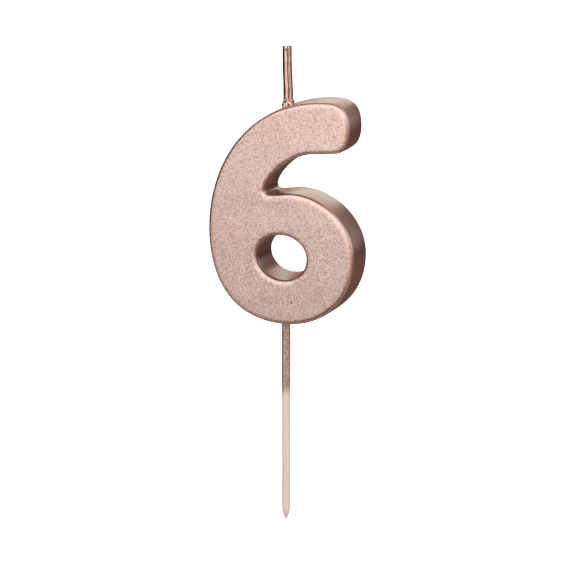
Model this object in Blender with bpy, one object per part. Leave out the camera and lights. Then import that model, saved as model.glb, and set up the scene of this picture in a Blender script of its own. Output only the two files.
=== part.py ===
"""Number birthday candle: a cast wax figure 6 on a bamboo pick, with a plaited wick.

Frame: +Z up, the figure's front faces -Y. The origin is on the pick's axis, at mid
thickness, level with the lowest point of the figure, which is where the icing comes to.
"""

import math

import bmesh
import bpy
from mathutils import Matrix, Vector

MM = 0.001

# ---- driving dimensions, in millimetres -------------------------------------

# The figure's outline. x is measured from the pick's axis, heights from the lowest point.
FIGURE_HEIGHT = 55.9
FIGURE_THICKNESS = 9.8
EDGE_ROUND = 0.9           # of the front edges, which the mould rounds
BACK_EDGE_ROUND = 0.3      # what is left of the round at the open, levelled back
LEFT_REACH = 18.7          # pick axis to the spine's outermost point
LEFT_REACH_HEIGHT = 22.65
BOWL_REACH = 19.2          # pick axis to the bowl's outermost point
BOWL_REACH_HEIGHT = 17.25
BOWL_TOP_HEIGHT = 32.85
BOWL_TOP_X = 3.0
BOTTOM_X = 0.8
CROTCH_X = -3.9            # where the arm's underside turns into the bowl's top
CROTCH_RISE = 0.6          # above the bowl's top
CROTCH_DEPTH = 0.6         # dip of the crotch's floor below the bowl's top
CROTCH_FLOOR_WIDTH = 1.0
CROTCH_FLOOR_REACH = 0.3   # how far the floor runs on level towards the bowl's top, as a share
ARM_REACH = 17.9           # pick axis to the tip of the arm
ARM_STROKE = 12.75         # thickness of the arm, top to underside
ARM_TIP_DROP = 6.5         # from the top down to the arm's outermost point
ARM_TOP_X = 12.4
ARM_UNDER_X = 9.0
ARM_HEEL_X = 14.6
ARM_HEEL_RISE = 0.5
ARM_HEEL_SLOPE = 0.4       # of the underside at the heel, as a share of the heel's rise

# The counter is the oval hole in the bowl. It narrows towards the back.
COUNTER_WIDTH = 12.9
COUNTER_HEIGHT = 11.3
COUNTER_X = 0.5
BOTTOM_STROKE = 11.05      # wax under the counter
COUNTER_DRAFT = 0.3        # how much less room there is at the back, on each side
CUT_MARGIN = 1.0           # how far the cutters run on outside the wax

# The wick
WICK_X = 0.6
WICK_RISE = 14.7           # free length above the figure
WICK_LEAN = -0.35
WICK_BURIED_DROP = 18.0    # how far down the wick reaches inside the figure
WICK_BURIED_LEAN = 1.8     # sideways pull of the buried end
WICK_BURIED_TURN = 0.45    # where the buried part turns upright, as a share of its drop
WICK_STIFFNESS = 0.4       # straight part at each end of the free length, as a share of it
COAT_DIAMETER = 2.0
COAT_WALL = 0.24
STRAND_DIAMETER = 0.46
STRAND_CLEARANCE = 0.10    # between strands, and between strands and coat
PLAIT_SPREAD = 0.9         # how much of the bore's width the plait takes up
PLAIT_PITCH = 5.2
CHANNEL_CLEARANCE = 0.15   # round the coat, in the wax

# The seal at the wick's foot
SEAL_WALL = 0.3            # round the coat and its clearance
SEAL_HEIGHT = 1.9
SEAL_LIFT = 0.15           # above the wax
SEAL_SHOULDER = 0.55       # where the seal's side starts to lean in, as a share of its height
SEAL_NECK = 0.8            # where it leans in further

# The pick
PICK_DIAMETER = 2.0
PICK_FREE_LENGTH = 51.55   # below the figure
PICK_POINT_LENGTH = 3.6
SOCKET_ROOF = 2.6          # wax left between the socket and the counter
SOCKET_CLEARANCE = 0.15    # round the pick
SOCKET_END_CLEARANCE = 0.3
SOCKET_RUN_OUT = 2.0       # how far the socket's cutter starts below the wax

# How full the outline's quarter turns are: 0.55 is an ellipse, more is squarer
LOWER_LEFT_FULLNESS = 0.63
LOWER_RIGHT_FULLNESS = 0.58
SHOULDER_FULLNESS = 0.545
SPINE_TOP_FULLNESS = 0.62
SPINE_SIDE_FULLNESS = 0.54
ARM_TIP_FULLNESS = 0.66
ARM_TIP_LOWER_FULLNESS = 0.56
ARM_HEEL_FULLNESS = 0.7
UNDERSIDE_FULLNESS = 0.42
UNDERSIDE_INNER_FULLNESS = 0.46
CROTCH_FLOOR_FULLNESS = 0.8
CROTCH_SIDE_FULLNESS = 0.6
CROTCH_TOP_LEAN = 0.06     # sideways and upward pull of the outline above the crotch,
CROTCH_TOP_FULLNESS = 0.35  # as shares of the rise to the arm's underside

# Facets
OUTLINE_STEPS = 36
EDGE_STEPS = 2
OVAL_SIDES = 48
ROUND_SIDES = 16
POINT_STEPS = 7
WICK_STEP = 1.1
STRAND_STEP = 0.55


# ---- general helpers ---------------------------------------------------------

def clear_scene():
    for obj in list(bpy.data.objects):
        bpy.data.objects.remove(obj, do_unlink=True)


def make_material(name, color, roughness, metallic):
    mat = bpy.data.materials.new(name)
    mat.use_nodes = True
    shader = mat.node_tree.nodes["Principled BSDF"]
    shader.inputs["Base Color"].default_value = (*color, 1.0)
    shader.inputs["Roughness"].default_value = roughness
    shader.inputs["Metallic"].default_value = metallic
    mat.diffuse_color = (*color, 1.0)
    return mat


def add_object(name, mesh, mat):
    obj = bpy.data.objects.new(name, mesh)
    bpy.context.collection.objects.link(obj)
    if mat:
        mesh.materials.clear()
        mesh.materials.append(mat)
    return obj


def smooth(obj, angle=35.0):
    obj.data.shade_smooth()
    obj.data.set_sharp_from_angle(angle=math.radians(angle))


def mesh_from_curve(name, curve):
    """The closed, welded mesh of a curve."""
    holder = bpy.data.objects.new(name + "_curve", curve)
    bpy.context.collection.objects.link(holder)
    bpy.context.view_layer.update()
    evaluated = holder.evaluated_get(bpy.context.evaluated_depsgraph_get())
    mesh = bpy.data.meshes.new_from_object(evaluated)
    mesh.name = name
    bpy.data.objects.remove(holder, do_unlink=True)
    bm = bmesh.new()
    bm.from_mesh(mesh)
    bmesh.ops.remove_doubles(bm, verts=bm.verts, dist=1e-7)
    bmesh.ops.recalc_face_normals(bm, faces=bm.faces)
    bm.to_mesh(mesh)
    bm.free()
    return mesh


def rod_mesh(name, points, radius, resolution):
    """A round rod with flat ends along a list of points, given in millimetres."""
    curve = bpy.data.curves.new(name, "CURVE")
    curve.dimensions = "3D"
    curve.bevel_depth = radius * MM
    curve.bevel_resolution = resolution
    curve.use_fill_caps = True
    spline = curve.splines.new("POLY")
    spline.points.add(len(points) - 1)
    for target, point in zip(spline.points, points):
        target.co = (*(Vector(point) * MM), 1.0)
    return mesh_from_curve(name, curve)


def cut(obj, cutter):
    """Takes the cutter out of the object for good."""
    cutter.hide_render = True
    cutter.display_type = "WIRE"
    modifier = obj.modifiers.new("cut", "BOOLEAN")
    modifier.operation = "DIFFERENCE"
    modifier.solver = "EXACT"
    modifier.object = cutter
    bpy.context.view_layer.update()
    evaluated = obj.evaluated_get(bpy.context.evaluated_depsgraph_get())
    mesh = bpy.data.meshes.new_from_object(evaluated)
    obj.modifiers.clear()
    old_mesh = obj.data
    obj.data = mesh
    mesh.name = old_mesh.name
    bpy.data.meshes.remove(old_mesh)
    bpy.data.objects.remove(cutter, do_unlink=True)


def bezier_point(p0, p1, p2, p3, t):
    u = 1.0 - t
    return u ** 3 * p0 + 3 * u * u * t * p1 + 3 * u * t * t * p2 + t ** 3 * p3


# ---- the figure's outline ----------------------------------------------------

def outline_anchors():
    """Anchors of the outline, anticlockwise from the lowest point, seen from the front.

    Each is (point, handle back, handle on), as x and height.
    """
    top = FIGURE_HEIGHT
    arm_under = top - ARM_STROKE
    arm_tip = top - ARM_TIP_DROP
    crotch_side = BOWL_TOP_HEIGHT + CROTCH_RISE
    crotch_floor = BOWL_TOP_HEIGHT - CROTCH_DEPTH
    floor_x = CROTCH_X + CROTCH_FLOOR_WIDTH
    floor_reach = (BOWL_TOP_X - floor_x) * CROTCH_FLOOR_REACH
    under_rise = arm_under - crotch_side
    under_run = ARM_UNDER_X - CROTCH_X

    lower_left = LOWER_LEFT_FULLNESS
    lower_right = LOWER_RIGHT_FULLNESS
    tip_width = ARM_REACH - ARM_TOP_X
    heel_height = arm_under + ARM_HEEL_RISE
    heel_width = ARM_REACH - ARM_HEEL_X

    return [
        ((BOTTOM_X, 0.0),
         (-lower_left * (LEFT_REACH + BOTTOM_X), 0.0),
         (lower_right * (BOWL_REACH - BOTTOM_X), 0.0)),
        ((BOWL_REACH, BOWL_REACH_HEIGHT),
         (0.0, -lower_right * BOWL_REACH_HEIGHT),
         (0.0, SHOULDER_FULLNESS * (BOWL_TOP_HEIGHT - BOWL_REACH_HEIGHT))),
        ((BOWL_TOP_X, BOWL_TOP_HEIGHT),
         (SHOULDER_FULLNESS * (BOWL_REACH - BOWL_TOP_X), 0.0),
         (-floor_reach, 0.0)),
        ((floor_x, crotch_floor),
         (floor_reach, 0.0),
         (-CROTCH_FLOOR_FULLNESS * CROTCH_FLOOR_WIDTH, 0.0)),
        ((CROTCH_X, crotch_side),
         (-0.1, -CROTCH_SIDE_FULLNESS * (CROTCH_RISE + CROTCH_DEPTH)),
         (CROTCH_TOP_LEAN * under_rise, CROTCH_TOP_FULLNESS * under_rise)),
        ((ARM_UNDER_X, arm_under),
         (-UNDERSIDE_INNER_FULLNESS * under_run, -0.2),
         (UNDERSIDE_FULLNESS * (ARM_HEEL_X - ARM_UNDER_X), 0.1)),
        ((ARM_HEEL_X, heel_height),
         (-0.25 * (ARM_HEEL_X - ARM_UNDER_X), -ARM_HEEL_SLOPE * ARM_HEEL_RISE),
         (ARM_HEEL_FULLNESS * heel_width, ARM_HEEL_RISE)),
        ((ARM_REACH, arm_tip),
         (0.0, -ARM_TIP_LOWER_FULLNESS * (arm_tip - heel_height)),
         (0.0, ARM_TIP_FULLNESS * ARM_TIP_DROP)),
        ((ARM_TOP_X, top),
         (ARM_TIP_FULLNESS * tip_width, 0.0),
         (-SPINE_TOP_FULLNESS * (LEFT_REACH + ARM_TOP_X), 0.0)),
        ((-LEFT_REACH, LEFT_REACH_HEIGHT),
         (0.0, SPINE_SIDE_FULLNESS * (top - LEFT_REACH_HEIGHT)),
         (0.0, -lower_left * LEFT_REACH_HEIGHT)),
    ]


def figure_curve(thickness):
    curve = bpy.data.curves.new("figure_outline", "CURVE")
    curve.dimensions = "2D"
    curve.fill_mode = "BOTH"
    curve.resolution_u = OUTLINE_STEPS
    curve.extrude = (thickness / 2 - EDGE_ROUND) * MM
    curve.bevel_depth = EDGE_ROUND * MM
    curve.bevel_resolution = EDGE_STEPS
    curve.offset = -EDGE_ROUND * MM
    anchors = outline_anchors()
    spline = curve.splines.new("BEZIER")
    spline.bezier_points.add(len(anchors) - 1)
    spline.use_cyclic_u = True
    for target, (point, back, ahead) in zip(spline.bezier_points, anchors):
        here = Vector((*point, 0.0))
        target.handle_left_type = "FREE"
        target.handle_right_type = "FREE"
        target.co = here * MM
        target.handle_left = (here + Vector((*back, 0.0))) * MM
        target.handle_right = (here + Vector((*ahead, 0.0))) * MM
    return curve


def top_surface_at(x):
    """Height and slope of the figure's top edge above the given x."""
    anchors = outline_anchors()
    start, _, ahead = anchors[-2]
    end, back, _ = anchors[-1]
    p0 = Vector(start)
    p1 = p0 + Vector(ahead)
    p3 = Vector(end)
    p2 = p3 + Vector(back)
    low, high = 0.0, 1.0
    for _ in range(40):
        middle = (low + high) / 2
        if bezier_point(p0, p1, p2, p3, middle).x > x:
            low = middle
        else:
            high = middle
    here = bezier_point(p0, p1, p2, p3, low)
    beyond = bezier_point(p0, p1, p2, p3, low + 0.01)
    slope = math.atan2(here.y - beyond.y, here.x - beyond.x)
    return here.y, slope


# ---- the counter's cutter ----------------------------------------------------

def counter_profile():
    """(depth, growth of the oval) from in front of the figure to behind it."""
    half = FIGURE_THICKNESS / 2
    steps = EDGE_STEPS + 2
    mouth = []
    for i in range(steps):
        turn = math.radians(90.0) * (1 - i / (steps - 1))
        depth = -half + EDGE_ROUND * (1 - math.sin(turn))
        mouth.append((depth, EDGE_ROUND * (1 - math.cos(turn))))
    first = (-half - CUT_MARGIN, EDGE_ROUND)
    last = (half + CUT_MARGIN, -COUNTER_DRAFT)
    return [first] + mouth + [last]


def counter_cutter():
    centre_z = BOTTOM_STROKE + COUNTER_HEIGHT / 2
    bm = bmesh.new()
    previous = None
    for depth, growth in counter_profile():
        place = Matrix.Translation(Vector((COUNTER_X, depth, centre_z)) * MM)
        size = Matrix.Diagonal(Vector((
            (COUNTER_WIDTH / 2 + growth) * MM,
            (COUNTER_HEIGHT / 2 + growth) * MM,
            1.0, 1.0)))
        stand_up = Matrix.Rotation(math.radians(90.0), 4, "X")
        ring = bmesh.ops.create_circle(
            bm, segments=OVAL_SIDES, radius=1.0, matrix=place @ stand_up @ size)["verts"]
        edges = list({e for v in ring for e in v.link_edges})
        if previous:
            bmesh.ops.bridge_loops(bm, edges=previous + edges)
        else:
            bmesh.ops.contextual_create(bm, geom=edges)
        previous = edges
    bmesh.ops.contextual_create(bm, geom=previous)
    bmesh.ops.recalc_face_normals(bm, faces=bm.faces)
    mesh = bpy.data.meshes.new("counter_cutter")
    bm.to_mesh(mesh)
    bm.free()
    return add_object("counter_cutter", mesh, None)


# ---- the wick's path ---------------------------------------------------------

def wick_path(step, below=0.0, above=0.0):
    """Points along the wick's centre line from its buried end to its tip.

    `below` and `above` run the line on past its ends.
    """
    foot_z, _ = top_surface_at(WICK_X)
    stem_x = (CROTCH_X - LEFT_REACH) / 2
    end_z = foot_z - WICK_BURIED_DROP
    buried = (
        Vector((stem_x, 0.0, end_z)),
        Vector((stem_x + WICK_BURIED_LEAN, 0.0, end_z + WICK_BURIED_DROP / 2)),
        Vector((WICK_X, 0.0, foot_z - WICK_BURIED_TURN * WICK_BURIED_DROP)),
        Vector((WICK_X, 0.0, foot_z)))
    tip = Vector((WICK_X + WICK_LEAN, 0.0, foot_z + WICK_RISE))
    bend = Vector((0.0, 0.0, WICK_STIFFNESS * WICK_RISE))
    free = (buried[3], buried[3] + bend, tip - bend, tip)

    points = []
    for corners in (buried, free):
        length = sum((b - a).length for a, b in zip(corners, corners[1:]))
        count = max(4, round(length / step))
        points += [bezier_point(*corners, i / count) for i in range(count)]
    points.append(tip)
    if below:
        points.insert(0, points[0] + (points[0] - points[1]).normalized() * below)
    if above:
        points.append(points[-1] + (points[-1] - points[-2]).normalized() * above)
    return points


def strand_points(phase):
    """One strand of a flat three-strand plait, laid round the wick's centre line."""
    radius = STRAND_DIAMETER / 2
    swing = PLAIT_SPREAD * (COAT_DIAMETER / 2 - COAT_WALL - STRAND_CLEARANCE - radius)
    weave = (STRAND_DIAMETER + STRAND_CLEARANCE) / math.sqrt(3)
    centre = wick_path(STRAND_STEP)
    points = []
    run = 0.0
    for i, here in enumerate(centre):
        before = centre[max(i - 1, 0)]
        after = centre[min(i + 1, len(centre) - 1)]
        along = (after - before).normalized()
        run += (here - before).length
        depth_axis = Vector((0.0, 1.0, 0.0))
        side_axis = depth_axis.cross(along).normalized()
        turn = 2 * math.pi * run / PLAIT_PITCH + phase
        across = side_axis * (swing * math.sin(turn))
        points.append(here + across + depth_axis * (weave * math.sin(2 * turn)))
    return points


# ---- the pieces --------------------------------------------------------------

def level_back(mesh):
    """Cuts the figure's back flat at the figure's thickness."""
    bm = bmesh.new()
    bm.from_mesh(mesh)
    geom = bm.verts[:] + bm.edges[:] + bm.faces[:]
    result = bmesh.ops.bisect_plane(
        bm, geom=geom, dist=1e-7, plane_co=(0.0, FIGURE_THICKNESS / 2 * MM, 0.0),
        plane_no=(0.0, 1.0, 0.0), clear_outer=True)
    rim = [g for g in result["geom_cut"] if isinstance(g, bmesh.types.BMEdge)]
    bmesh.ops.contextual_create(bm, geom=rim)
    bmesh.ops.recalc_face_normals(bm, faces=bm.faces)
    bm.to_mesh(mesh)
    bm.free()


def make_wax_numeral():
    mat = make_material("wax", (0.62, 0.41, 0.36), 0.38, 0.85)
    spare = EDGE_ROUND - BACK_EDGE_ROUND      # cast this much too thick, then levelled off
    outline = mesh_from_curve("wax_numeral", figure_curve(FIGURE_THICKNESS + spare))
    obj = add_object("wax_numeral", outline, mat)
    obj.data.transform(Matrix.Translation((0.0, spare / 2 * MM, 0.0))
                       @ Matrix.Rotation(math.radians(90.0), 4, "X"))
    level_back(obj.data)
    cut(obj, counter_cutter())

    channel_radius = COAT_DIAMETER / 2 + CHANNEL_CLEARANCE
    channel = rod_mesh("wick_channel", wick_path(WICK_STEP, below=CHANNEL_CLEARANCE),
                       channel_radius, 3)
    cut(obj, add_object("wick_channel", channel, None))

    socket_depth = BOTTOM_STROKE - SOCKET_ROOF
    socket_points = [(0.0, 0.0, -SOCKET_RUN_OUT), (0.0, 0.0, socket_depth)]
    socket = rod_mesh("pick_socket", socket_points, PICK_DIAMETER / 2 + SOCKET_CLEARANCE, 3)
    cut(obj, add_object("pick_socket", socket, None))
    obj.data.materials.clear()
    obj.data.materials.append(mat)
    smooth(obj)
    return obj


def make_wick():
    cotton = make_material("cotton", (0.86, 0.80, 0.72), 0.9, 0.0)
    coat = make_material("wick_coat", (0.60, 0.38, 0.33), 0.28, 0.85)
    for i in range(3):
        name = f"wick_strand_{i + 1}"
        points = strand_points(2 * math.pi * i / 3)
        smooth(add_object(name, rod_mesh(name, points, STRAND_DIAMETER / 2, 1), cotton))

    outer = rod_mesh("wick_coat", wick_path(WICK_STEP), COAT_DIAMETER / 2, 2)
    jacket = add_object("wick_coat", outer, coat)
    inner = rod_mesh("coat_bore", wick_path(WICK_STEP, below=CUT_MARGIN, above=CUT_MARGIN),
                     COAT_DIAMETER / 2 - COAT_WALL, 2)
    cut(jacket, add_object("coat_bore", inner, None))
    jacket.data.materials.clear()
    jacket.data.materials.append(coat)
    smooth(jacket)


def make_wick_seal():
    """A low collar round the wick, its foot cut to the slope of the wax."""
    mat = make_material("seal_wax", (0.60, 0.38, 0.33), 0.3, 0.85)
    foot_z, slope = top_surface_at(WICK_X)
    inner = COAT_DIAMETER / 2 + CHANNEL_CLEARANCE
    outer = inner + SEAL_WALL
    chamfer = SEAL_WALL / 4
    skirt = outer
    profile = [
        (inner, -skirt), (outer, -skirt), (outer, SEAL_SHOULDER * SEAL_HEIGHT),
        (outer - chamfer, SEAL_NECK * SEAL_HEIGHT), (inner + chamfer, SEAL_HEIGHT),
        (inner, SEAL_HEIGHT),
    ]
    bm = bmesh.new()
    corners = [bm.verts.new(Vector((x, 0.0, z)) * MM) for x, z in profile]
    for a, b in zip(corners, corners[1:] + corners[:1]):
        bm.edges.new((a, b))
    bmesh.ops.spin(
        bm, geom=bm.verts[:] + bm.edges[:], cent=(0, 0, 0), axis=(0, 0, 1),
        angle=2 * math.pi, steps=ROUND_SIDES, use_merge=True)
    bmesh.ops.remove_doubles(bm, verts=bm.verts, dist=1e-7)
    normal = Vector((-math.sin(slope), 0.0, math.cos(slope)))
    geom = bm.verts[:] + bm.edges[:] + bm.faces[:]
    cut_result = bmesh.ops.bisect_plane(
        bm, geom=geom, dist=1e-7, plane_co=normal * SEAL_LIFT * MM, plane_no=normal,
        clear_inner=True)
    rim = [g for g in cut_result["geom_cut"] if isinstance(g, bmesh.types.BMEdge)]
    bmesh.ops.bridge_loops(bm, edges=rim)
    bmesh.ops.recalc_face_normals(bm, faces=bm.faces)
    mesh = bpy.data.meshes.new("wick_seal")
    bm.to_mesh(mesh)
    bm.free()
    obj = add_object("wick_seal", mesh, mat)
    obj.location = Vector((WICK_X, 0.0, foot_z)) * MM
    smooth(obj)


def make_pick():
    """A round stick with a bullet point, turned from its profile."""
    mat = make_material("pick", (0.70, 0.58, 0.48), 0.55, 0.0)
    radius = PICK_DIAMETER / 2
    point = PICK_POINT_LENGTH
    curve_radius = (radius ** 2 + point ** 2) / (2 * radius)
    top = BOTTOM_STROKE - SOCKET_ROOF - SOCKET_END_CLEARANCE
    profile = [(0.0, -PICK_FREE_LENGTH)]
    for i in range(1, POINT_STEPS + 1):
        height = point * i / POINT_STEPS
        width = math.sqrt(curve_radius ** 2 - (point - height) ** 2) - curve_radius + radius
        profile.append((width, height - PICK_FREE_LENGTH))
    profile.append((radius, top))
    profile.append((0.0, top))
    bm = bmesh.new()
    corners = [bm.verts.new(Vector((x, 0.0, z)) * MM) for x, z in profile]
    for a, b in zip(corners, corners[1:]):
        bm.edges.new((a, b))
    bmesh.ops.spin(
        bm, geom=bm.verts[:] + bm.edges[:], cent=(0, 0, 0), axis=(0, 0, 1),
        angle=2 * math.pi, steps=ROUND_SIDES, use_merge=True)
    bmesh.ops.remove_doubles(bm, verts=bm.verts, dist=1e-7)
    bmesh.ops.recalc_face_normals(bm, faces=bm.faces)
    mesh = bpy.data.meshes.new("pick")
    bm.to_mesh(mesh)
    bm.free()
    smooth(add_object("pick", mesh, mat))


def main():
    clear_scene()
    make_wax_numeral()
    make_wick()
    make_wick_seal()
    make_pick()


main()
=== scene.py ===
import math
import bmesh
import bpy
from mathutils import Matrix, Vector, noise


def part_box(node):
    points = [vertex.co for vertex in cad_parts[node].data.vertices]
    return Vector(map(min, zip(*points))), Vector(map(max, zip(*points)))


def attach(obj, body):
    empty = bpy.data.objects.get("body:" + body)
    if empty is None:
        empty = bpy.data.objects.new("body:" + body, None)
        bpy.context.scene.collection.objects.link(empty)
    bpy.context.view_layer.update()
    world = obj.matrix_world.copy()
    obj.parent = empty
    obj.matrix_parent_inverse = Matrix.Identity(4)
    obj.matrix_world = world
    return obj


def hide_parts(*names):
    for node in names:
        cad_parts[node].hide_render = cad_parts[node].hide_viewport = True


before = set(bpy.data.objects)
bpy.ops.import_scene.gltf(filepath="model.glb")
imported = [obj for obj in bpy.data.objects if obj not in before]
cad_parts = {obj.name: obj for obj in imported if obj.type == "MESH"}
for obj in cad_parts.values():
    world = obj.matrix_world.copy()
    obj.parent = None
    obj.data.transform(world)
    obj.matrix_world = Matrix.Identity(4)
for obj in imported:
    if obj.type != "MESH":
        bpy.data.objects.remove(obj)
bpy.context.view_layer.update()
mm = 0.001
scene = bpy.context.scene
print("frame loaded:", ", ".join(sorted(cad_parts)))


class Wire:  # a shader socket that can be calculated with
    def __init__(self, tree, socket=None):
        self.tree = tree
        self.socket = socket

    def node(self, kind, settings=None, values=None, output=0):
        made = self.tree.nodes.new(kind)
        for name, value in (settings or {}).items():
            setattr(made, name, value)
        for name, value in (values or {}).items():
            if isinstance(value, Wire):
                self.tree.links.new(value.socket, made.inputs[name])
            else:
                made.inputs[name].default_value = value
        return Wire(self.tree, made.outputs[output])

    def maths(self, operation, *others):
        return self.node("ShaderNodeMath", {"operation": operation}, dict(enumerate((self, *others))))

    def __add__(self, other):
        return self.maths("ADD", other)

    __radd__ = __add__

    def __mul__(self, other):
        return self.maths("MULTIPLY", other)

    __rmul__ = __mul__

    def __sub__(self, other):
        return self.maths("SUBTRACT", other)

    def __rsub__(self, other):
        return self.node("ShaderNodeMath", {"operation": "SUBTRACT"}, {0: other, 1: self})

    def between(self, low, high):  # 0 below low, 1 above high, smooth between
        return self.node("ShaderNodeMapRange", {"interpolation_type": "SMOOTHSTEP"},
                         {"Value": self, "From Min": low, "From Max": high})

    def part(self, axis):
        return self.node("ShaderNodeSeparateXYZ", None, {0: self}, axis)

    def vector(self, operation, *others):
        return self.node("ShaderNodeVectorMath", {"operation": operation}, dict(enumerate((self, *others))))

    def measure(self, operation, *others):  # a number from vectors
        return self.node("ShaderNodeVectorMath", {"operation": operation},
                         dict(enumerate((self, *others))), "Value")

    def scaled(self, x, y, z):
        return self.vector("MULTIPLY", (x, y, z))

    def mix(self, first, second):  # self is the factor, first and second are colours
        return self.node("ShaderNodeMix", {"data_type": "RGBA"}, {0: self, 6: first, 7: second}, 2)

    def mottle(self, scale, detail, roughness=0.5):
        return self.node("ShaderNodeTexNoise", None,
                         {"Vector": self, "Scale": scale, "Detail": detail, "Roughness": roughness}, 0)

    def cells(self, scale):  # one random number for each cell
        return self.node("ShaderNodeTexVoronoi", {"feature": "F1"},
                         {"Vector": self, "Scale": scale, "Randomness": 1.0}, "Color").part(0)

    def attribute(self, name):
        return self.node("ShaderNodeAttribute", {"attribute_name": name}, None, "Fac")

    def bump(self, strength, depth):  # self is the height, depth is in millimetres
        return self.node("ShaderNodeBump", None, {"Strength": strength, "Distance": depth * mm, "Height": self})


def colour(red, green, blue):  # from screen values, 0 to 255, to linear light
    def linear(value):
        value /= 255
        return value / 12.92 if value <= 0.04045 else ((value + 0.055) / 1.055) ** 2.4
    return (linear(red), linear(green), linear(blue), 1.0)


def newFinish(name):
    finish = bpy.data.materials.new(name)
    finish.use_nodes = True
    tree = finish.node_tree
    tree.nodes.clear()
    wire = Wire(tree)
    output = tree.nodes.new("ShaderNodeOutputMaterial")
    place = wire.node("ShaderNodeTexCoord", None, None, "Object").scaled(1000, 1000, 1000)  # millimetres
    return finish, wire, place, output


def closeFinish(wire, output, values):
    shader = wire.node("ShaderNodeBsdfPrincipled", None, values)
    wire.tree.links.new(shader.socket, output.inputs["Surface"])


def addPiece(name, mesh, finish, node):
    piece = bpy.data.objects.new(name, mesh)
    scene.collection.objects.link(piece)
    mesh.materials.clear()
    mesh.materials.append(finish)
    mesh.shade_smooth()
    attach(piece, "root")
    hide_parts(node)


def meshFrom(bm, name):
    mesh = bpy.data.meshes.new(name)
    bm.to_mesh(mesh)
    bm.free()
    return mesh


def direction(azimuth, elevation):  # in degrees; azimuth 0 is in front of the object, 90 on its right
    azimuth, elevation = math.radians(azimuth), math.radians(elevation)
    return Vector((math.sin(azimuth) * math.cos(elevation),
                   -math.cos(azimuth) * math.cos(elevation),
                   math.sin(elevation)))


cameraView = {
    "azimuth": 21.5, "elevation": 14.0, "distance": 0.9, "lens": 231.6,
    "lookAt": (-0.00124, 0.00174, 0.00857),
    "near": 0.01, "far": 50,
}

lightTent = {  # a cloth tent round the candle, lit from outside and screened in places
    "radius": 0.33, "middle": (0.0, 0.0, 0.025),
    "sides": 64, "rings": 32,
    "dim": (0.485, 0.285, 0.226),  # the cloth where no lamp reaches it
    "dome": {"azimuth": 8, "elevation": 45, "reach": 57, "fade": 42, "strength": 1.45},
    "lamps": {  # middle azimuth, width, its fade, middle elevation, height, its fade, light
        "frontLow": (-25, 44, 18, -19, 32, 14, (0.53, 0.53, 0.53)),
        "right": (107, 78, 26, 24, 52, 12, (1.1, 1.1, 1.1)),
        "behind": (-168, 44, 10, 21.5, 11, 6, (1.1, 1.4, 1.34)),
        "floorBounce": (0, 400, 20, -62, 50, 14, (0.37, 0.28, 0.245)),
    },
    "screens": {  # the same, and how much light they keep off
        "right": (158, 32, 8, 6, 41, 8, 0.8),
        "low": (0, 46, 14, -36, 19, 14, 1.0),
        "left": (-86, 68, 8, 4, 39, 8, 0.85),
        "leftHigh": (-88, 50, 24, 42, 40, 20, 0.5),
        "edge": (38, 19, 8, -18, 53, 8, 0.42),
        "behind": (-165, 130, 14, -26, 46, 12, 0.72),
    },
}

fillLights = {  # soft, and unseen by gloss: they brighten wood, cotton and matt paint
    "frontFill": {"azimuth": 21, "elevation": 12, "spread": 110, "strength": 2.0},
    "backFill": {"azimuth": 188, "elevation": 20, "spread": 60, "strength": 3.2},
}

paleFloor = {
    "reach": 4.0, "gap": 0.0002,  # metres from its middle to its edge, and below the pick's point
    "paint": (0.9, 0.9, 0.9, 1), "roughness": 0.9, "glow": 0.75,
}


def placeCamera():
    back = direction(cameraView["azimuth"], cameraView["elevation"])
    data = bpy.data.cameras.new("studioCamera")
    data.lens = cameraView["lens"]
    data.clip_start = cameraView["near"]
    data.clip_end = cameraView["far"]
    camera = bpy.data.objects.new("studioCamera", data)
    camera.location = Vector(cameraView["lookAt"]) + back * cameraView["distance"]
    camera.rotation_euler = back.to_track_quat("Z", "Y").to_euler()
    scene.collection.objects.link(camera)
    scene.camera = camera
    scene.view_settings.view_transform = "Standard"


def addStage(name, mesh):
    prop = bpy.data.objects.new(name, mesh)
    scene.collection.objects.link(prop)
    return prop


def tentCloth():
    finish, wire, place, output = newFinish("tentCloth")
    finish.cycles.emission_sampling = "NONE"
    ray = place.vector("SUBTRACT", tuple(Vector(lightTent["middle"]) / mm)).vector("NORMALIZE")
    degrees = 180 / math.pi
    azimuth = ray.part(0).maths("ARCTAN2", ray.part(1) * -1) * degrees
    elevation = ray.part(2).maths("ARCSINE") * degrees

    def patch(middle, width, sideFade, height, tall, edgeFade):
        aside = (azimuth - middle).maths("WRAP", 180, -180).maths("ABSOLUTE")
        above = (elevation - height).maths("ABSOLUTE")
        inside = aside.between((width + sideFade) / 2, (width - sideFade) / 2)
        return inside * above.between((tall + edgeFade) / 2, (tall - edgeFade) / 2)

    def times(light, amount):
        return wire.node("ShaderNodeVectorMath", {"operation": "SCALE"}, {0: light, "Scale": amount})

    dome = lightTent["dome"]
    domeMiddle = direction(dome["azimuth"], dome["elevation"])
    angle = ray.measure("DOT_PRODUCT", domeMiddle).maths("ARCCOSINE") * degrees
    halfFade = dome["fade"] / 2
    light = angle.between(dome["reach"] + halfFade, dome["reach"] - halfFade) * dome["strength"]
    cloth = times((1.0, 1.0, 1.0), light)
    for lamp in lightTent["lamps"].values():
        lit = patch(*lamp[:6])
        light = light + lit
        cloth = cloth.vector("ADD", times(lamp[6], lit))
    cloth = cloth.vector("ADD", times(lightTent["dim"], (1 - light).maths("MAXIMUM", 0)))
    for screen in lightTent["screens"].values():
        cloth = times(cloth, 1 - patch(*screen[:6]) * screen[6])
    glow = wire.node("ShaderNodeEmission", None, {"Color": cloth, "Strength": 1.0})
    wire.tree.links.new(glow.socket, output.inputs["Surface"])
    return finish


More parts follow.
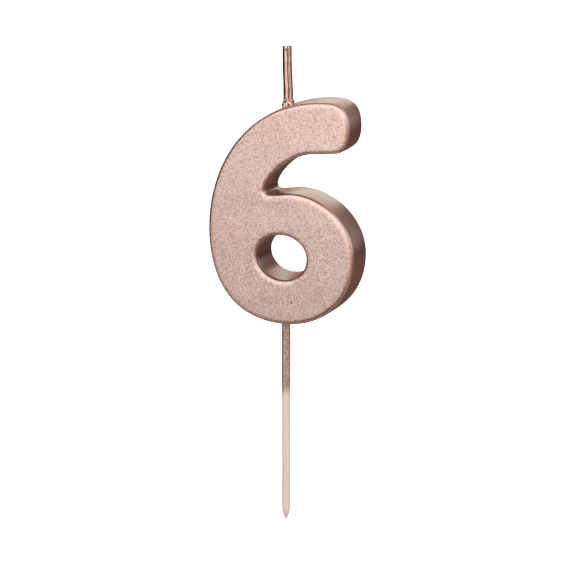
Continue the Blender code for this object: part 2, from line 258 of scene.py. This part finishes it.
def pitchTent():
    bm = bmesh.new()
    bmesh.ops.create_uvsphere(bm, u_segments=lightTent["sides"], v_segments=lightTent["rings"],
                              radius=lightTent["radius"])
    bmesh.ops.translate(bm, vec=lightTent["middle"], verts=bm.verts)
    bmesh.ops.reverse_faces(bm, faces=bm.faces)
    mesh = meshFrom(bm, "lightTent")
    mesh.shade_smooth()
    mesh.materials.append(tentCloth())
    tent = addStage("lightTent", mesh)
    tent.visible_camera = False
    tent.visible_shadow = False


def paintRoom():
    world = bpy.data.worlds.new("whiteRoom")
    scene.world = world
    world.use_nodes = True
    world.node_tree.nodes["Background"].inputs["Color"].default_value = (1, 1, 1, 1)


def hangFillLights():
    for name, fill in fillLights.items():
        data = bpy.data.lights.new(name, "SUN")
        data.angle = math.radians(fill["spread"])
        data.energy = fill["strength"]
        lamp = bpy.data.objects.new(name, data)
        lamp.rotation_euler = direction(fill["azimuth"], fill["elevation"]).to_track_quat("Z", "Y").to_euler()
        lamp.visible_glossy = False
        scene.collection.objects.link(lamp)


def layFloor():
    bm = bmesh.new()
    bmesh.ops.create_grid(bm, x_segments=1, y_segments=1, size=paleFloor["reach"])
    bmesh.ops.translate(bm, vec=(0, 0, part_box("pick")[0].z - paleFloor["gap"]), verts=bm.verts)
    mesh = meshFrom(bm, "paleFloor")
    floor = addStage("paleFloor", mesh)
    finish, wire, place, output = newFinish("paleFloorPaint")
    closeFinish(wire, output, {
        "Base Color": paleFloor["paint"], "Roughness": paleFloor["roughness"],
        "Emission Color": (1, 1, 1, 1), "Emission Strength": paleFloor["glow"]})
    mesh.materials.append(finish)
    floor.visible_glossy = False
    floor.visible_diffuse = False
    floor.visible_shadow = False


placeCamera()
pitchTent()
paintRoom()
hangFillLights()
layFloor()
print("camera, light and floor set")


numeral = {
    "voxel": 0.25,  # mesh size, mm
    "smoothing": 3,  # passes
    "crown": 0.12, "halfThickness": 4.9,  # the sides belly out a little, mm
    "waveHeight": 0.045, "waveLength": 9.0,  # slow unevenness of the cast faces, mm
    "rippleShare": 0.4, "rippleLength": 3.1,  # and a finer one on top of it
    "socketRadius": 1.03,  # the wax closes on the pick, mm
    "grip": 1.22, "gripFrom": 0.25, "gripTo": 9,  # how far from the pick's axis, and at which heights
}


def mergedCopy(node):
    bm = bmesh.new()
    bm.from_mesh(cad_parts[node].data)
    bmesh.ops.remove_doubles(bm, verts=bm.verts, dist=1e-6)
    return meshFrom(bm, node + "Copy")


def remeshed(mesh, voxel):
    holder = bpy.data.objects.new("holder", mesh)
    scene.collection.objects.link(holder)
    modifier = holder.modifiers.new("voxels", "REMESH")
    modifier.mode = "VOXEL"
    modifier.voxel_size = voxel * mm
    bpy.context.view_layer.update()
    evaluated = holder.evaluated_get(bpy.context.evaluated_depsgraph_get())
    made = bpy.data.meshes.new_from_object(evaluated)
    bpy.data.objects.remove(holder, do_unlink=True)
    return made


def smoothedFrom(mesh, passes):  # a bmesh of a remeshed piece without its voxel steps
    bm = bmesh.new()
    bm.from_mesh(mesh)
    for _ in range(passes):
        bmesh.ops.smooth_vert(bm, verts=bm.verts, factor=0.5,
                              use_axis_x=True, use_axis_y=True, use_axis_z=True)
    bm.normal_update()
    return bm


def makeNumeral(finish):
    bm = smoothedFrom(remeshed(mergedCopy("wax_numeral"), numeral["voxel"]), numeral["smoothing"])
    frontness = bm.verts.layers.float.new("frontness")  # 1 in front, 0 on the sides, -1 on the back
    normals = [v.normal.copy() for v in bm.verts]
    for vert, normal in zip(bm.verts, normals):
        place = vert.co / mm
        vert[frontness] = -normal.y
        depth = place.y / numeral["halfThickness"]
        belly = numeral["crown"] * (1 - normal.y ** 2) * (1 - depth ** 2)
        wave = noise.noise(place / numeral["waveLength"])
        wave += numeral["rippleShare"] * noise.noise(place / numeral["rippleLength"])
        fromAxis = Vector((place.x, place.y, 0))
        if fromAxis.length < numeral["grip"] and numeral["gripFrom"] < place.z < numeral["gripTo"]:
            vert.co = Vector((*(fromAxis.normalized() * numeral["socketRadius"]).xy, place.z)) * mm
        else:
            vert.co += normal * (wave * numeral["waveHeight"] + belly) * mm
    mesh = meshFrom(bm, "castNumeral")
    addPiece("castNumeral", mesh, finish, "wax_numeral")
    print("numeral made:", len(mesh.polygons), "faces")


roseGold = {
    "paint": (0.805, 0.555, 0.48),  # mean colour of the sprayed paint
    "even": 0.64,  # the flakes' middle value, which the smooth sides keep
    "darkest": 0.49, "lightest": 1.285,  # single flakes, as shares of the mean
    "browning": 0.2,  # how much browner the darker flakes are
    "flake": 4.5, "finer": 2.3,  # flakes per mm, and how many times finer the small ones are
    "grain": 2.2, "cloud": 0.11,  # patches per mm
    "shares": (0.6, 0.2, 0.2),  # of flakes, small flakes and grain in the speckle
    "contrast": (0.12, 0.88), "curve": 0.62,
    "cloudiness": 0.12, "cloudShade": 0.9,
    "sideFlake": 0.12,  # how much of the flake shows on the smooth sides
    "roughness": 0.30, "roughnessSpread": 0.12,
    "bump": (0.35, 0.02),  # strength, and depth in mm
    "backMatt": 0.45,  # the back lies on the tray while the front is sprayed, so its paint is duller
    "flatFace": (0.6, 0.97), "backFace": (0.7, 0.95),  # these and the edge's are ranges of frontness
    "edgeInner": (0.75, 0.5), "edgeOuter": (0.1, 0.3),
    "paintedEdgeShade": 0.55,  # painted shade: a darker brown band along the outer half of the rounded edge
    # the brown of the painted shade in the recesses and along the edge
    "paintedShadeBrown": (0.27, 0.175, 0.145, 1),
    "paintedShadeRecesses": {  # painted shade in the recesses: middle, outer and inner reach in mm, and how much it darkens them
        "crotch": ((-1.5, 0.0, 34.8), 6.0, 1.5, 0.65),
        "hole": ((0.4, 0.0, 16.6), 8.0, 6.5, 0.42),
    },
    "specks": {"face": ((3.27, -4.88, 5.79), 0.38), "top": ((2.64, 4.0, 54.45), 0.55)},  # dark grit, mm
    "speckShade": 0.13, "speckCover": 0.85,
}


def shade(factor):  # the mean paint, lighter or darker
    power = 1 + roseGold["browning"] * (1 - factor)
    return tuple(min(1.0, factor * channel ** power) for channel in roseGold["paint"]) + (1.0,)


def distance(place, middle):
    return place.vector("SUBTRACT", middle).measure("LENGTH")


def marked(base, place, marks):
    for middle, radius in marks.values():
        inside = distance(place, middle).between(radius, radius * 0.5)
        base = (inside * roseGold["speckCover"]).mix(base, shade(roseGold["speckShade"]))
    return base


def roseGoldPaint():
    finish, wire, place, output = newFinish("roseGoldPaint")
    flake = place.cells(roseGold["flake"])
    small = place.cells(roseGold["flake"] * roseGold["finer"])
    grain = place.mottle(roseGold["grain"], 3.0, 0.65)
    cloud = place.mottle(roseGold["cloud"], 2.0)
    shares = roseGold["shares"]
    speckle = flake * shares[0] + small * shares[1] + grain.between(0.3, 0.7) * shares[2]
    speckle = speckle.between(*roseGold["contrast"]).maths("POWER", roseGold["curve"])
    front = wire.attribute("frontness")
    flat = front.maths("ABSOLUTE").between(*roseGold["flatFace"])
    back = (front * -1).between(*roseGold["backFace"])
    shown = flat * (1 - roseGold["sideFlake"]) + roseGold["sideFlake"]
    speckle = roseGold["even"] + (speckle - roseGold["even"]) * shown
    base = speckle.mix(shade(roseGold["darkest"]), shade(roseGold["lightest"]))
    base = (cloud.between(0.35, 0.7) * roseGold["cloudiness"]).mix(base, shade(roseGold["cloudShade"]))
    # painted shade: the side walls darken towards the crotch and the hole
    for middle, outer, inner, amount in roseGold["paintedShadeRecesses"].values():
        deep = distance(place.scaled(1, 0, 1), middle).between(outer, inner)
        base = (deep * (1 - flat) * amount).mix(base, roseGold["paintedShadeBrown"])
    # painted shade along the outer half of the rounded edge
    edge = front.between(*roseGold["edgeOuter"]) * front.between(*roseGold["edgeInner"])
    base = (edge * roseGold["paintedEdgeShade"]).mix(base, roseGold["paintedShadeBrown"])
    base = marked(base, place, roseGold["specks"])
    closeFinish(wire, output, {
        "Base Color": base,
        "Metallic": 1 - back * roseGold["backMatt"],
        "Roughness": roseGold["roughness"] + (flake - 0.5) * shown * roseGold["roughnessSpread"],
        "Normal": ((grain * 0.6 + flake * 0.4) * shown).bump(*roseGold["bump"]),
    })
    return finish


makeNumeral(roseGoldPaint())


# the wick is a dipped jacket round three cotton strands; lengths in mm
wick = {
    "foot": (0.60, 0.0, 53.76), "tip": (0.25, 0.0, 68.46),
    "buriedEnd": (-11.30, 0.0, 35.76), "buriedBend": (-9.50, 0.0, 44.76), "buriedTurn": (0.60, 0.0, 45.66),
    "straightness": 0.4,  # share of the free length over which each end keeps upright
    "radius": 0.99, "bore": 0.77, "sides": 48, "step": 0.22, "buriedStep": 1.0,
    "footRadius": 1.25, "tipRadius": 1.16,  # the dipped coat thickens downwards
    "endRounding": 0.05, "plainFoot": 0.8,
    "lump": 0.03, "lumpLength": 1.6, "lumpStretch": 0.45,
    "fineLump": 0.5, "fineLength": 0.7,  # as a share of the lumps, and its length
    "groove": 0.07,  # depth where the plait shows through
    "wander": 7, "wanderLength": 5,  # degrees that the grooves turn to and fro
    "grooves": (  # azimuth and half width, degrees
        (-50, 17), (26, 8), (70, 12), (98, 20), (150, 12), (201, 18), (262, 12),
    ),
    "cutHeight": 0.5, "cutPeak": 0.10,  # the snipped end is a low ridge
    "marks": {  # dark spots
        "notch": ((0.41, -1.0, 67.75), 0.42), "speck": ((0.77, -0.93, 63.1), 0.28),
    },
}


def curvePoint(corners, t):
    a, b, c, d = corners
    u = 1 - t
    return u ** 3 * a + 3 * u * u * t * b + 3 * u * t * t * c + t ** 3 * d


def wickLine():
    foot, tip = Vector(wick["foot"]), Vector(wick["tip"])
    buried = (Vector(wick["buriedEnd"]), Vector(wick["buriedBend"]), Vector(wick["buriedTurn"]), foot)
    bend = Vector((0, 0, wick["straightness"] * (tip.z - foot.z)))
    free = (foot, foot + bend, tip - bend, tip)
    points = []
    for corners, step in ((buried, wick["buriedStep"]), (free, wick["step"])):
        length = sum((b - a).length for a, b in zip(corners, corners[1:]))
        count = round(length / step)
        points += [curvePoint(corners, i / count) for i in range(count)]
    return points + [tip]


def ringPlaces(points):
    places = []
    for i, here in enumerate(points):
        along = (points[min(i + 1, len(points) - 1)] - points[max(i - 1, 0)]).normalized()
        side = Vector((0, 1, 0)).cross(along).normalized()
        turn = Matrix((side, Vector((0, 1, 0)), along)).transposed().to_4x4()
        places.append(Matrix.Translation(here * mm) @ turn)
    return places


def jacketRadius(height):  # thin where the wax holds it, full thickness from 2 mm above the foot
    rise = height - wick["foot"][2]
    free = wick["tip"][2] - wick["foot"][2]
    if rise < 1.0:
        return wick["radius"]
    thick = wick["footRadius"] + (wick["tipRadius"] - wick["footRadius"]) * rise / free
    return wick["radius"] + (thick - wick["radius"]) * min(1.0, rise - 1.0)


def grooveDepth(azimuth):
    return max(math.exp(-(((azimuth - middle + 180) % 360 - 180) / width) ** 2)
               for middle, width in wick["grooves"])


def jacketTube():
    places = ringPlaces(wickLine())
    radii = [jacketRadius(place.translation.z / mm) for place in places]
    radii[-1] -= wick["endRounding"]
    inner = [wick["bore"]] * len(places)
    walk = list(zip(places, radii)) + list(zip(reversed(places), inner))
    bm = bmesh.new()
    ring = bmesh.ops.create_circle(bm, segments=wick["sides"], radius=1.0)["verts"]
    before = Matrix.Identity(4)
    firstEdges = edges = list({e for v in ring for e in v.link_edges})
    for count, (place, radius) in enumerate(walk):
        here = place @ Matrix.Diagonal((radius * mm, radius * mm, radius * mm, 1))
        if count:
            made = bmesh.ops.extrude_edge_only(bm, edges=edges)["geom"]
            ring = [g for g in made if isinstance(g, bmesh.types.BMVert)]
            edges = [g for g in made if isinstance(g, bmesh.types.BMEdge)]
        bmesh.ops.transform(bm, matrix=here @ before.inverted(), verts=ring)
        before = here
    bmesh.ops.bridge_loops(bm, edges=firstEdges + edges)
    bmesh.ops.recalc_face_normals(bm, faces=bm.faces)
    return bm


def makeWickJacket(finish):
    bm = jacketTube()
    foot, tip = Vector(wick["foot"]), Vector(wick["tip"])
    midWall = (wick["bore"] + wick["radius"]) / 2
    hollow = bm.verts.layers.float.new("hollow")  # 1 at the bottom of a groove
    for vert in bm.verts:
        place = vert.co / mm
        if place.z < foot.z + wick["plainFoot"]:
            continue
        axisX = foot.x + (tip.x - foot.x) * (place.z - foot.z) / (tip.z - foot.z)
        aside = Vector((place.x - axisX, place.y, 0))
        stretched = Vector((place.x, place.y, place.z * wick["lumpStretch"]))
        wave = noise.noise(stretched / wick["lumpLength"])
        wave += wick["fineLump"] * noise.noise(place / wick["fineLength"] + Vector((9, 4, 2)))
        if aside.length > midWall:
            turn = wick["wander"] * noise.noise(Vector((0, 0, place.z / wick["wanderLength"])))
            deep = grooveDepth(math.degrees(math.atan2(aside.x, -aside.y)) + turn)
            vert[hollow] = deep
            vert.co += aside.normalized() * (wave * wick["lump"] - deep * wick["groove"]) * mm
        if place.z > tip.z - wick["cutHeight"]:
            vert.co.z -= abs(aside.x) * wick["cutPeak"] * mm
    mesh = meshFrom(bm, "wickJacket")
    addPiece("wickJacket", mesh, finish, "wick_coat")
    print("wick jacket made:", len(mesh.polygons), "faces")


dipped = {  # the paint on the wick's coat and on its seal
    "coat": {"roughness": 0.17, "pale": (0.86, 0.66, 0.58, 1), "deep": (0.62, 0.40, 0.34, 1)},
    "seal": {"roughness": 0.16, "pale": (0.95, 0.77, 0.70, 1), "deep": (0.52, 0.32, 0.27, 1)},
    "paintedShadeRims": (0.16, 0.10, 0.08, 1),  # painted shade: this dark edge tint of the reflection makes the rims darker than the rest
    # painted shade in the wick's grooves and the seal's hollows, and how much of it covers them
    "hollowShade": colour(108, 72, 60), "hollowShadeCover": 0.9,
    "streak": 1.3, "streakStretch": 0.35, "fleck": 5.0,  # patches per mm
    "roughnessSpread": 0.14, "bump": (0.3, 0.03),  # strength, and depth in mm
}

cotton = {
    "fibre": 9.0, "fibreStretch": 0.2,  # fibres per mm
    "deep": colour(196, 178, 158), "pale": colour(240, 228, 212),
    "roughness": 0.75, "sheen": 0.2, "bump": (0.6, 0.04),
}


def dippedPaint(name, paint):
    finish, wire, place, output = newFinish(name)
    hollow = wire.attribute("hollow")
    streak = place.scaled(1, 1, dipped["streakStretch"]).mottle(dipped["streak"], 3.0, 0.6)
    fleck = place.mottle(dipped["fleck"], 2.0, 0.7)
    base = (streak.between(0.3, 0.72) * 0.75 + fleck.between(0.35, 0.65) * 0.25).mix(
        paint["deep"], paint["pale"])
    # painted shade in the hollows
    base = (hollow.between(0.15, 0.8) * dipped["hollowShadeCover"]).mix(base, dipped["hollowShade"])
    base = marked(base, place, wick["marks"])
    closeFinish(wire, output, {
        # the dark specular tint is painted shade on the rims
        "Base Color": base, "Metallic": 1.0, "Specular Tint": dipped["paintedShadeRims"],
        "Roughness": paint["roughness"] + (fleck - 0.5) * dipped["roughnessSpread"],
        "Normal": (fleck * 0.4 + streak).bump(*dipped["bump"]),
    })
    return finish


def cottonFinish():
    finish, wire, place, output = newFinish("waxedCotton")
    fibre = place.scaled(1, 1, cotton["fibreStretch"]).mottle(cotton["fibre"], 4.0, 0.6)
    closeFinish(wire, output, {
        "Base Color": fibre.between(0.3, 0.7).mix(cotton["deep"], cotton["pale"]),
        "Roughness": cotton["roughness"] + fibre * 0.15,
        "Normal": fibre.bump(*cotton["bump"]),
        "Sheen Weight": cotton["sheen"],
    })
    return finish


makeWickJacket(dippedPaint("dippedWickPaint", dipped["coat"]))
strandCotton = cottonFinish()
for strand in ("wick_strand_1", "wick_strand_2", "wick_strand_3"):
    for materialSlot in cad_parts[strand].material_slots:
        materialSlot.material = strandCotton


# the dab of wax at the wick's foot; lengths in mm
seal = {
    "inner": 1.03, "outer": 1.52, "height": 1.85, "sides": 36,
    "skirt": -1.2,  # how far it reaches below the foot before its underside is cut
    "slope": (-0.36, 0, 1), "lift": 0.1,  # the underside lies along the sloping top of the figure
    "voxel": 0.06, "smoothing": 4,
    "lump": 0.24, "lumpLength": 0.62, "fineLump": 0.5, "fineLength": 0.3,
    "sag": 0.12, "sagLength": 0.7,
    "skin": 1.1, "skinFade": 0.15,  # only the outside, beyond this radius, is lumpy
    "hollowStart": 0.2, "hollowGain": 3,  # how the painted shade in the hollows follows the lumps
}


def sealRing():
    outer, inner, height = seal["outer"], seal["inner"], seal["height"]
    profile = [(inner, seal["skirt"]), (outer + 0.05, seal["skirt"]), (outer + 0.03, 0.2),
               (outer - 0.02, 0.7), (outer - 0.1, 1.15), (outer - 0.22, 1.5),
               (inner + 0.03, height), (inner, height - 0.1)]
    bm = bmesh.new()
    corners = [bm.verts.new((x * mm, 0, z * mm)) for x, z in profile]
    for a, b in zip(corners, corners[1:] + corners[:1]):
        bm.edges.new((a, b))
    bmesh.ops.spin(bm, geom=bm.verts[:] + bm.edges[:], cent=(0, 0, 0), axis=(0, 0, 1),
                   angle=2 * math.pi, steps=seal["sides"], use_merge=True)
    bmesh.ops.remove_doubles(bm, verts=bm.verts, dist=1e-7)
    bmesh.ops.recalc_face_normals(bm, faces=bm.faces)
    slope = Vector(seal["slope"]).normalized()
    geom = bm.verts[:] + bm.edges[:] + bm.faces[:]
    cut = bmesh.ops.bisect_plane(bm, geom=geom, dist=1e-7, plane_co=slope * seal["lift"] * mm,
                                 plane_no=slope, clear_inner=True)
    rim = [g for g in cut["geom_cut"] if isinstance(g, bmesh.types.BMEdge)]
    bmesh.ops.bridge_loops(bm, edges=rim)
    bmesh.ops.recalc_face_normals(bm, faces=bm.faces)
    bmesh.ops.translate(bm, vec=Vector(wick["foot"]) * mm, verts=bm.verts)
    return meshFrom(bm, "sealRing")


def makeSeal(finish):
    foot = Vector(wick["foot"])
    bm = smoothedFrom(remeshed(sealRing(), seal["voxel"]), seal["smoothing"])
    hollow = bm.verts.layers.float.new("hollow")
    for vert in bm.verts:
        place = vert.co / mm
        fromAxis = Vector((place.x - foot.x, place.y, 0))
        outside = max(0.0, min(1.0, (fromAxis.length - seal["skin"]) / seal["skinFade"]))
        wave = noise.noise(place / seal["lumpLength"] + Vector((3, 1, 7)))
        wave += seal["fineLump"] * noise.noise(place / seal["fineLength"])
        # painted shade goes where the lumps sink in
        vert[hollow] = max(0.0, min(1.0, seal["hollowStart"] - seal["hollowGain"] * wave)) * outside
        vert.co += fromAxis.normalized() * wave * seal["lump"] * outside * mm
        vert.co.z += outside * noise.noise(place / seal["sagLength"]) * seal["sag"] * mm
    mesh = meshFrom(bm, "footSeal")
    addPiece("footSeal", mesh, finish, "wick_seal")
    print("seal made:", len(mesh.polygons), "faces")


makeSeal(dippedPaint("sealPaint", dipped["seal"]))


# lengths in mm, heights from the figure's lowest point
pick = {
    "radius": 1.03, "length": 51.55, "top": 8.15,
    "point": 3.6, "pointRings": 16, "pointCurve": 1.5, "chamfer": 0.15,
    "sides": 32, "step": 0.5,
    "waver": 0.025,  # how uneven the stick is
    "coat": 0.08, "coatRise": 0.5, "coatTuck": -2.5,  # the paint's thickness, which tucks in under the wax
    "paintEnd": -18.2, "paintFade": 2.8, "paintSlope": 0.45, "paintRag": 1.2,
}

bamboo = {
    "grain": 3.2, "grainStretch": 0.035, "fibre": 11.0, "fibreStretch": 0.05,  # per mm
    "deepWood": colour(211, 195, 181), "paleWood": colour(232, 220, 208),
    "drift": 0.16, "driftWood": colour(224, 206, 196), "driftCover": 0.35,
    "mottle": 2.0, "fleck": 3.5,
    "deepPaint": colour(132, 100, 94), "palePaint": colour(226, 200, 192),
    # painted shade: the dark edge tint of the reflection darkens the painted stick's rims
    "paintedShadeRims": (0.16, 0.11, 0.09, 1), "metal": 0.6,
    "roughness": 0.46, "woodRougher": 0.12, "fibreRougher": 0.1,
    "bump": (0.4, 0.03),
}


def pickOutline():
    point, radius, tip, top = pick["point"], pick["radius"], -pick["length"], pick["top"]
    arc = (radius ** 2 + point ** 2) / (2 * radius)
    profile = [(0.0, tip)]
    for i in range(1, pick["pointRings"] + 1):
        height = point * (i / pick["pointRings"]) ** pick["pointCurve"]
        width = math.sqrt(arc ** 2 - (point - height) ** 2) - arc + radius
        profile.append((width, height + tip))
    shaft = top - tip - point
    count = round(shaft / pick["step"])
    profile += [(radius, point + tip + shaft * i / count) for i in range(1, count + 1)]
    return profile + [(radius - pick["chamfer"], top), (0.0, top)]


def makePick(finish):
    bm = bmesh.new()
    corners = [bm.verts.new((x * mm, 0, z * mm)) for x, z in pickOutline()]
    for a, b in zip(corners, corners[1:]):
        bm.edges.new((a, b))
    bmesh.ops.spin(bm, geom=bm.verts[:] + bm.edges[:], cent=(0, 0, 0), axis=(0, 0, 1),
                   angle=2 * math.pi, steps=pick["sides"], use_merge=True)
    bmesh.ops.remove_doubles(bm, verts=bm.verts, dist=1e-7)
    bmesh.ops.recalc_face_normals(bm, faces=bm.faces)
    for vert in bm.verts:
        place = vert.co / mm
        outward = Vector((place.x, place.y, 0))
        if place.z < -0.05 and outward.length > 0.01:
            wave = noise.noise(Vector((place.x * 1.5, place.y * 1.5, place.z * 0.12)))
            rise = place.z - pick["paintEnd"] + pick["coatRise"]
            coated = max(0.0, min(1.0, rise, pick["coatTuck"] * place.z)) * pick["coat"]
            vert.co += outward.normalized() * ((wave - 0.2) * pick["waver"] + coated) * mm
    mesh = meshFrom(bm, "woodenPick")
    addPiece("woodenPick", mesh, finish, "pick")
    print("pick made:", len(mesh.polygons), "faces")


def pickFinish():
    finish, wire, place, output = newFinish("paintedBamboo")
    grain = place.scaled(1, 1, bamboo["grainStretch"]).mottle(bamboo["grain"], 4.0, 0.6)
    fibre = place.scaled(1, 1, bamboo["fibreStretch"]).mottle(bamboo["fibre"], 3.0, 0.6)
    drift = place.scaled(0.3, 0.3, 1).mottle(bamboo["drift"], 2.0)
    wood = (grain.between(0.3, 0.7) * 0.6 + fibre.between(0.35, 0.65) * 0.4).mix(
        bamboo["deepWood"], bamboo["paleWood"])
    wood = (drift.between(0.35, 0.65) * bamboo["driftCover"]).mix(wood, bamboo["driftWood"])
    mottle = place.mottle(bamboo["mottle"], 4.0, 0.7)
    fleck = place.cells(bamboo["fleck"])
    paint = (mottle.between(0.32, 0.68) * 0.65 + fleck * 0.35).mix(
        bamboo["deepPaint"], bamboo["palePaint"])
    height = place.part(2) - place.part(0) * pick["paintSlope"] + (mottle - 0.5) * pick["paintRag"]
    halfFade = pick["paintFade"] / 2
    bare = height.between(pick["paintEnd"] + halfFade, pick["paintEnd"] - halfFade)
    rougher = bare * bamboo["woodRougher"] + bamboo["roughness"]
    closeFinish(wire, output, {
        "Base Color": bare.mix(paint, wood),
        # the dark specular tint is painted shade on the rims
        "Metallic": (1 - bare) * bamboo["metal"], "Specular Tint": bamboo["paintedShadeRims"],
        "Roughness": rougher + (fibre - 0.5) * bamboo["fibreRougher"],
        "Normal": (bare * grain + (1 - bare) * mottle).bump(*bamboo["bump"]),
    })
    return finish


makePick(pickFinish())
